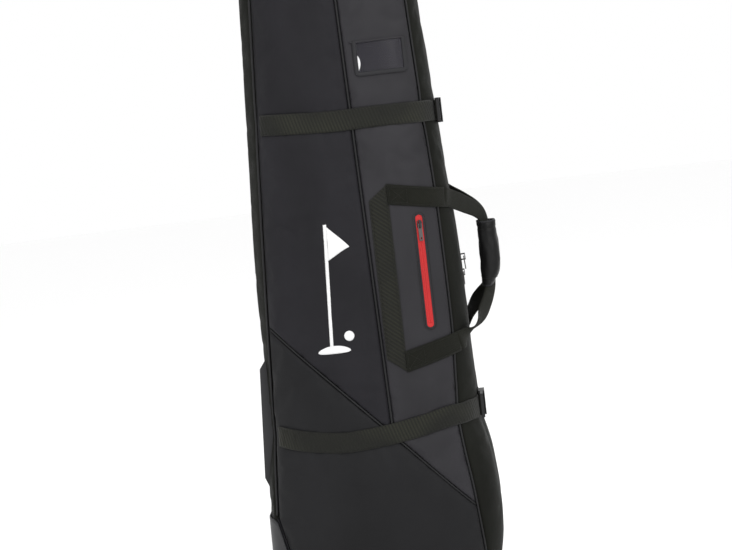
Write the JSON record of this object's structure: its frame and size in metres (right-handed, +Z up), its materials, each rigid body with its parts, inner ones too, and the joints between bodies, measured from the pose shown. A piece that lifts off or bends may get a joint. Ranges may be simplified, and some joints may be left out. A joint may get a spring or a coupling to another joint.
{
  "type": "golf travel case",
  "caption": "Tall padded golf travel case on two wheels with a moulded base, hinged front flap, zips, buckled straps and a wrapped carry handle.",
  "frame": {"origin": "on the floor under the middle of the base, on the middle skid's lower face", "axes": "+Z up; -Y out of the front face, which opens; -X towards the spine with the wheels and rails; +X towards the zip side with the carry handle"},
  "size_m": [0.4829, 0.292, 1.3504],
  "materials": {
    "spine_fabric": "woven polyester, dark charcoal",
    "front_fabric": "woven polyester, charcoal",
    "lining": "brushed lining over foam",
    "board": "stiff sheet",
    "piping": "bound cord piping",
    "webbing": "woven webbing",
    "grip": "padded wrap",
    "black_plastic": "moulded acetal",
    "base_plastic": "moulded, fine texture",
    "zip": "zip tape and coil",
    "red_zip": "red zip tape and coil",
    "slider_metal": "dark plated",
    "puller": "moulded puller",
    "window_film": "clear vinyl",
    "window_rim": "binding tape",
    "card": "card",
    "thread": "white embroidery thread",
    "steel": "plain",
    "wheel_hub": "moulded",
    "wheel_tyre": "polyurethane tread"
  },
  "bodies": {
    "case_body": {"spine_panel": "spine_fabric", "rear_panel": "spine_fabric", "rear_gusset": "spine_fabric", "hood_shell": "spine_fabric", "hood_pad": "lining", "bottom_panel": "spine_fabric", "floor_pad": "lining", "stiffener_board": "board", "rear_piping": "piping", "upper_buckle_socket": "black_plastic", "lower_buckle_socket": "black_plastic", "socket_tabs": "webbing", "rear_handle_webbing": "webbing", "rear_grip_half": "grip", "main_zip_fixed_tape": "zip", "base_tray": "base_plastic", "base_skids": "base_plastic", "front_wheel_housing": "base_plastic", "rear_wheel_housing": "base_plastic", "axle_bolts": "steel", "axle_nuts": "steel", "spine_rails": "base_plastic", "rail_screws": "steel", "top_handle_strap": "webbing", "top_handle_grip": "grip", "foot_handle": "webbing", "inner_straps": "webbing", "inner_buckles": "black_plastic"},
    "front_flap": {"logo_panel": "spine_fabric", "pocket_panel": "front_fabric", "lower_panel": "spine_fabric", "front_gusset": "spine_fabric", "front_piping": "piping", "upper_strap": "webbing", "lower_strap": "webbing", "upper_buckle_plug": "black_plastic", "lower_buckle_plug": "black_plastic", "front_handle_webbing": "webbing", "front_grip_half": "grip", "main_zip_flap_tape": "zip", "pocket_zip": "red_zip", "pocket_pouch": "lining", "id_card": "card", "id_window_film": "window_film", "id_window_frame": "window_rim", "emblem": "thread"},
    "upper_slider": {"upper_slider": "slider_metal"},
    "upper_puller": {"upper_puller": "puller"},
    "lower_slider": {"lower_slider": "slider_metal"},
    "lower_puller": {"lower_puller": "puller"},
    "pocket_slider": {"pocket_slider": "slider_metal"},
    "pocket_puller": {"pocket_puller": "puller"},
    "front_wheel": {"front_wheel_tyre": "wheel_tyre", "front_wheel_hub": "wheel_hub", "front_wheel_bearings": "steel"},
    "rear_wheel": {"rear_wheel_tyre": "wheel_tyre", "rear_wheel_hub": "wheel_hub", "rear_wheel_bearings": "steel"}
  },
  "joints": [
    {"name": "flap_hinge", "type": "hinge", "parent": "case_body", "child": "front_flap", "pos_m": [-0.16635, -0.1095, 0.6325], "axis": [-0.0629, -0.0224, -0.9978], "range_deg": [0, 100]},
    {"name": "front_wheel_spin", "type": "hinge", "parent": "case_body", "child": "front_wheel", "pos_m": [-0.186, -0.098, 0.042], "axis": [0, 1, 0], "continuous": true},
    {"name": "rear_wheel_spin", "type": "hinge", "parent": "case_body", "child": "rear_wheel", "pos_m": [-0.186, 0.098, 0.042], "axis": [0, 1, 0], "continuous": true},
    {"name": "upper_slider_travel", "type": "slide", "parent": "case_body", "child": "upper_slider", "axis": [-0.0576, 0, 0.9983], "range_m": [0, 0.23]},
    {"name": "upper_puller_swing", "type": "hinge", "parent": "upper_slider", "child": "upper_puller", "pos_m": [0.19118, 0, 0.61443], "axis": [0, -1, 0], "range_deg": [0, 90]},
    {"name": "lower_slider_travel", "type": "slide", "parent": "case_body", "child": "lower_slider", "axis": [0.0135, 0, -0.9999], "range_m": [0, 0.185]},
    {"name": "lower_puller_swing", "type": "hinge", "parent": "lower_slider", "child": "lower_puller", "pos_m": [0.18719, 0, 0.58603], "axis": [0, -1, 0], "range_deg": [0, 90]},
    {"name": "pocket_slider_travel", "type": "slide", "parent": "front_flap", "child": "pocket_slider", "axis": [0.0068, -0.0317, -0.9995], "range_m": [0, 0.17]},
    {"name": "pocket_puller_swing", "type": "hinge", "parent": "pocket_slider", "child": "pocket_puller", "pos_m": [0.12177, -0.12834, 0.6902], "axis": [-0.978, -0.2085, 0], "range_deg": [0, 150]}
  ]
}
